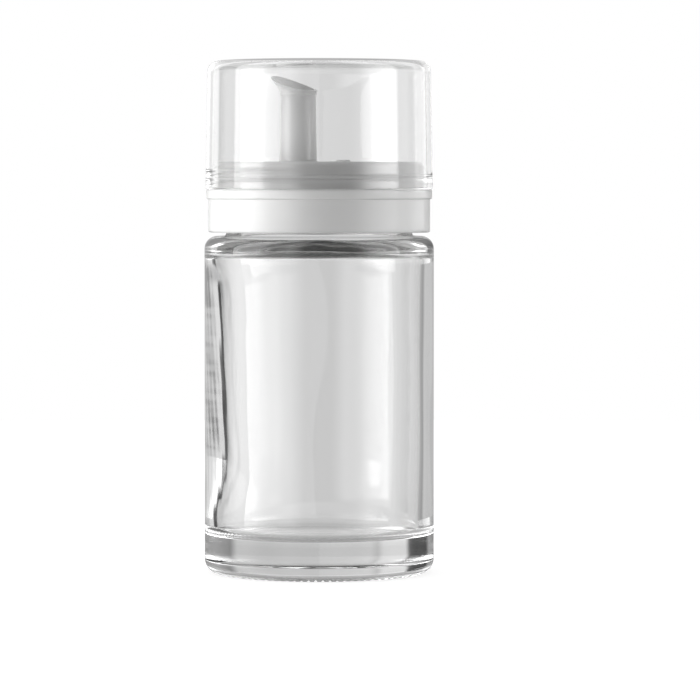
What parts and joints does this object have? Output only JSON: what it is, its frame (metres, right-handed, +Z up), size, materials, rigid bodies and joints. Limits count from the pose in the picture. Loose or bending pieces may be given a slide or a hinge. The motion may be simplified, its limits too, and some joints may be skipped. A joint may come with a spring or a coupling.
{
  "type": "glass dispenser bottle",
  "caption": "Small round clear glass dispenser bottle with a white screwed collar, a beaked pouring spout and a clear screwed cover.",
  "frame": {"origin": "on the ground plane, on the axis of the bottle", "axes": "+Z up along the bottle's axis, +X to the right and -Y towards the viewer in the shown pose, the spout's beak pointing to -X and +Y"},
  "size_m": [0.0516, 0.0516, 0.1154],
  "materials": {
    "clear_glass": "clear pressed glass with slight waviness",
    "white_plastic": "smooth moulded white plastic",
    "clear_plastic": "clear moulded plastic"
  },
  "bodies": {
    "root": {"bottle": "clear_glass", "collar": "white_plastic", "cover": "clear_plastic"}
  },
  "joints": []
}
